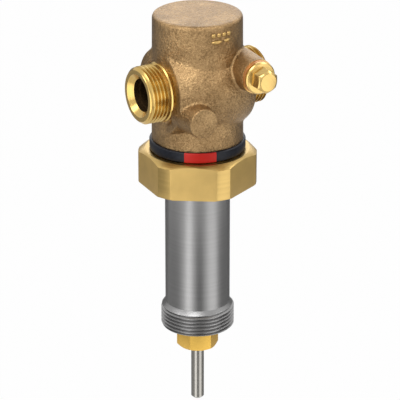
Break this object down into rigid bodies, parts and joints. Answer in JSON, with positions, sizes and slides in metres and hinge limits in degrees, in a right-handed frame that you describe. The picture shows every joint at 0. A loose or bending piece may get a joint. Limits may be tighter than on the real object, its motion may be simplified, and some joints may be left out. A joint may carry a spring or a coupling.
{
  "type": "control valve",
  "caption": "Small two-way globe control valve: cast bronze body with coaxial male-threaded ports, union nut, long steel neck and a spring-returned stem pin.",
  "frame": {"origin": "point where the pipe centreline of the two ports crosses the stem axis", "axes": "+Z along the stem axis towards the blind cap, away from the actuator; +X along the pipe centreline towards the outlet port; the two side bosses face -Y"},
  "size_m": [0.062, 0.0646, 0.1916],
  "materials": {
    "cast_bronze": "sand-cast, matt and grainy",
    "machined_brass": "turned, bright",
    "turned_steel": "turned, fine brushing round the tube",
    "stainless": "ground, bright",
    "spring_steel": "drawn wire",
    "seal_rubber": "matt black",
    "gasket_fibre": "pressed fibre",
    "bearing_plastic": "off-white",
    "ring_plastic": "black",
    "copper_washer": "soft copper"
  },
  "bodies": {
    "valve": {"valve_body": "cast_bronze", "seat_ring": "stainless", "insert_housing": "machined_brass", "insert_seal": "seal_rubber", "stem_seal": "seal_rubber", "back_up_ring": "bearing_plastic", "seal_spacer": "machined_brass", "spring_seat": "stainless", "return_spring": "spring_steel", "body_gasket": "gasket_fibre", "marking_ring": "ring_plastic", "union_nut": "machined_brass", "neck_tube": "turned_steel", "gland_nut": "machined_brass", "gland_washer": "gasket_fibre", "guide_bush": "bearing_plastic", "gland_seal": "seal_rubber", "wiper_ring": "seal_rubber", "test_plug": "machined_brass", "plug_washer": "copper_washer"},
    "stem": {"valve_stem": "stainless", "valve_cone": "machined_brass", "cone_seal": "seal_rubber", "cone_nut": "stainless", "spring_plate": "stainless", "stem_clip": "spring_steel"}
  },
  "joints": [
    {"name": "stem_stroke", "type": "slide", "parent": "valve", "child": "stem", "axis": [0, 0, 1], "range_m": [0, 0.004], "stiffness_N_per_m": 4600, "springref_m": -0.008, "deforming": ["return_spring"]}
  ]
}
